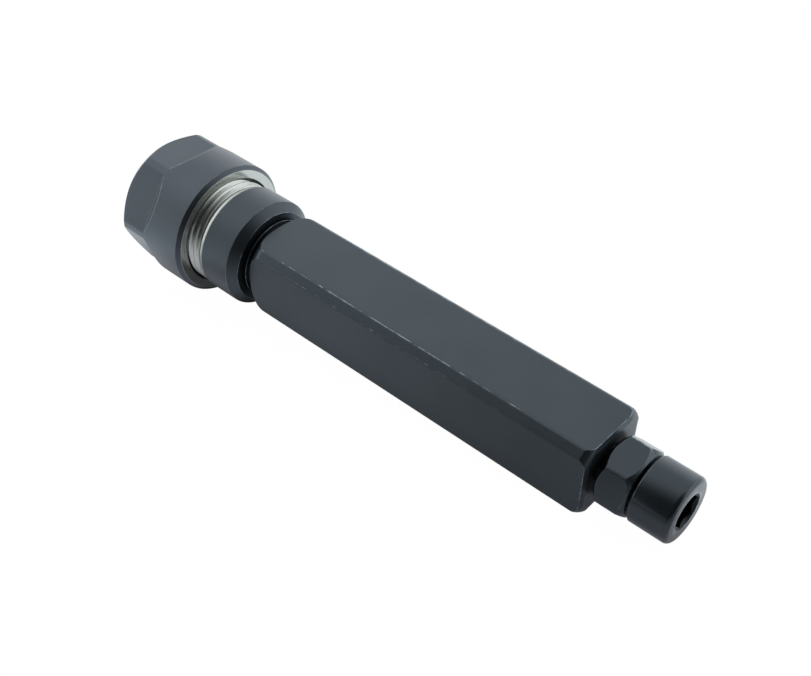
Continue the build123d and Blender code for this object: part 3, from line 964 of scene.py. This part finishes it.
def white_floor(paint_colour):
    """A pale floor that keeps the shadow. The camera sees it nearly white. Reflections see a glow painted by
    place: a painted pool of light behind the chuck and ahead of its nut, a painted shadow under the chuck,
    and painted shade on the other sides, the more so farther out and to the rear."""
    material, tree, place = new_metal("floor_white")
    tree.nodes.remove(tree.nodes["Principled BSDF"])
    paint = add_node(tree, "BsdfDiffuse", {"Color": (*paint_colour, 1.0)})[0]
    part = add_node(tree, "SeparateXYZ", {"Vector": place})
    x, y = part["X"], part["Y"]
    past_shank = maths(tree, "MAXIMUM", maths(tree, "SUBTRACT", x, PAST_SHANK), 0.0)
    behind = ramp(tree, maths(tree, "MULTIPLY_ADD", past_shank, SLANT, y), *BEHIND, smooth=True)
    ahead = ramp(tree, x, *AHEAD, smooth=True)
    out = maths(tree, "MAXIMUM", maths(tree, "MULTIPLY", y, -1.0), maths(tree, "SUBTRACT", x, PAST_SCREW))
    # Painted shadow under the chuck, and painted shade that deepens farther out and to the rear
    dim = ramp(tree, out, *UNDER, ramp(tree, x, *UNDER_LEVEL))
    for value, fade in ((out, FALLING), (x, REARWARD)):
        dim = maths(tree, "MULTIPLY", dim, ramp(tree, value, *fade))
    # Painted pools of light behind the chuck and ahead of its nut
    bright_behind = maths(tree, "MULTIPLY", behind, ramp(tree, x, *BEHIND_LEVEL))
    bright = maths(tree, "MAXIMUM", bright_behind, maths(tree, "MULTIPLY", ahead, AHEAD_LEVEL))
    rays = add_node(tree, "LightPath")
    seen_white = rays["Is Camera Ray"]
    level = ramp(tree, seen_white, 0.0, 1.0, maths(tree, "ADD", bright, dim), CAMERA_LEVEL)
    tint = mixed(tree, maths(tree, "MAXIMUM", behind, ahead), *FLOOR_TINTS)
    tint = mixed(tree, seen_white, tint, (1.0, 1.0, 1.0))
    glow = add_node(tree, "Emission", {"Color": tint, "Strength": level})[0]
    seen = maths(tree, "MULTIPLY", seen_white, CAMERA_SHARE)
    seen = maths(tree, "MULTIPLY_ADD", rays["Is Glossy Ray"], GLOSSY_SHARE, seen)
    lit = add_node(tree, "MixShader", {0: seen, 1: paint, 2: glow})[0]
    below = add_node(tree, "NewGeometry")["Backfacing"]
    clear = add_node(tree, "BsdfTransparent")[0]
    both = add_node(tree, "MixShader", {0: below, 1: lit, 2: clear})[0]
    connect(tree, tree.nodes["Material Output"], {"Surface": both})
    return material


SKY_COLOUR, WHITE = (0.97, 0.985, 1.0, 1.0), (1.0, 1.0, 1.0, 1.0)
SKY_DARK_PARTS = (
    # direction, angle past which it ends, angle within which it is fully dark, brightness left
    ((0.50, -0.77, 0.39), math.radians(82), math.radians(41), 0.03),
    ((0.06, 0.34, 0.94), math.radians(54), math.radians(15), 0.57),
)


def white_world(strength):
    """White surroundings that light the chuck, darker towards the camera's side and overhead. The camera
    sees them plain white."""
    world = bpy.data.worlds.new("studio")
    bpy.context.scene.world = world
    world.use_nodes = True
    tree = world.node_tree
    direction = add_node(tree, "TexCoord")["Generated"]
    shade = 1.0
    for towards, outer, inner, left in SKY_DARK_PARTS:
        inputs = {0: direction, 1: Vector(towards).normalized()}
        facing = add_node(tree, "VectorMath", inputs, operation="DOT_PRODUCT")["Value"]
        part = ramp(tree, facing, math.cos(outer), math.cos(inner), 1.0, left, smooth=True)
        shade = maths(tree, "MULTIPLY", part, shade)
    brightness = maths(tree, "MULTIPLY", shade, strength)
    sky = add_node(tree, "Background", {"Color": SKY_COLOUR, "Strength": brightness})[0]
    white = add_node(tree, "Background", {"Color": WHITE, "Strength": 1.0})[0]
    seen = add_node(tree, "LightPath")["Is Camera Ray"]
    both = add_node(tree, "MixShader", {0: seen, 1: sky, 2: white})[0]
    connect(tree, tree.nodes["World Output"], {"Surface": both})


def photo_camera(stage):
    """A camera at the given place, turned by azimuth, elevation and roll."""
    data = bpy.data.cameras.new("photo_camera")
    data.lens = stage.lens
    data.sensor_width = 36.0
    data.clip_start, data.clip_end = 0.01, 20.0
    camera = bpy.data.objects.new("photo_camera", data)
    level = math.cos(stage.elevation)
    sine, cosine = math.sin(stage.azimuth), math.cos(stage.azimuth)
    back = Vector((sine * level, -cosine * level, math.sin(stage.elevation)))
    right = Vector((cosine, sine, 0.0))
    upright = back.cross(right)
    rolled_right = math.cos(stage.roll) * right + math.sin(stage.roll) * upright
    rolled_up = math.cos(stage.roll) * upright - math.sin(stage.roll) * right
    turn = Matrix((rolled_right, rolled_up, back)).transposed()
    camera.matrix_world = Matrix.Translation(stage.camera_place) @ turn.to_4x4()
    bpy.context.scene.collection.objects.link(camera)
    bpy.context.scene.camera = camera


class COLLETCHUCK_OT_stage(Operator):
    """Make the white floor, the soft light of the surroundings and the camera"""

    bl_idname = "collet_chuck.stage"
    bl_label = "Stage"

    def execute(self, context):
        stage = context.scene.chuck_stage
        photo_camera(stage)
        contact, upright = resting_plane(context.scene.chuck_body_sizes, context.scene.chuck_nut_sizes)
        half = stage.floor_size / 2
        side = np.array([(-1, -1), (1, -1), (1, 1), (-1, 1)]) * half
        turn = upright.to_track_quat("Z", "Y").to_matrix()
        corners = [contact + turn @ Vector((a, b, 0.0)) for a, b in side]
        mesh = bpy.data.meshes.new("floor")
        mesh.from_pydata(corners, [], [(0, 1, 2, 3)])
        mesh.materials.append(white_floor(stage.floor_colour))
        floor = bpy.data.objects.new("floor", mesh)
        context.scene.collection.objects.link(floor)
        white_world(stage.sky_strength)
        context.scene.view_settings.view_transform = "Standard"
        return {"FINISHED"}


class COLLETCHUCK_PT_panel(Panel):
    """Lists the operators in the 3D view's sidebar"""

    bl_idname = "COLLETCHUCK_PT_panel"
    bl_label = "Collet Chuck"
    bl_space_type = "VIEW_3D"
    bl_region_type = "UI"
    bl_category = "Collet Chuck"

    def draw(self, context):
        for operator in OPERATORS:
            self.layout.operator(operator.bl_idname)


OPERATORS = (
    COLLETCHUCK_OT_body,
    COLLETCHUCK_OT_nose_thread,
    COLLETCHUCK_OT_clamping_nut,
    COLLETCHUCK_OT_spring_collet,
    COLLETCHUCK_OT_stop_screw,
    COLLETCHUCK_OT_lock_nut,
    COLLETCHUCK_OT_stage,
)
SETTINGS = {
    "chuck_body_sizes": ChuckBodySizes,
    "chuck_threads": ThreadSizes,
    "chuck_nut_sizes": ClampingNutSizes,
    "chuck_screw_sizes": StopScrewSizes,
    "chuck_finish": FinishSettings,
    "chuck_stage": StageSettings,
}


def register():
    for settings in SETTINGS.values():
        bpy.utils.register_class(settings)
    for name, settings in SETTINGS.items():
        setattr(bpy.types.Scene, name, PointerProperty(type=settings))
    for operator in (*OPERATORS, COLLETCHUCK_PT_panel):
        bpy.utils.register_class(operator)


def unregister():
    for operator in (*OPERATORS, COLLETCHUCK_PT_panel):
        bpy.utils.unregister_class(operator)
    for name, settings in SETTINGS.items():
        delattr(bpy.types.Scene, name)
        bpy.utils.unregister_class(settings)


def main():
    register()
    bpy.ops.collet_chuck.body()
    bpy.ops.collet_chuck.nose_thread()
    bpy.ops.collet_chuck.clamping_nut()
    bpy.ops.collet_chuck.spring_collet()
    bpy.ops.collet_chuck.stop_screw()
    bpy.ops.collet_chuck.lock_nut()
    bpy.ops.collet_chuck.stage()


if __name__ == "__main__":
    main()
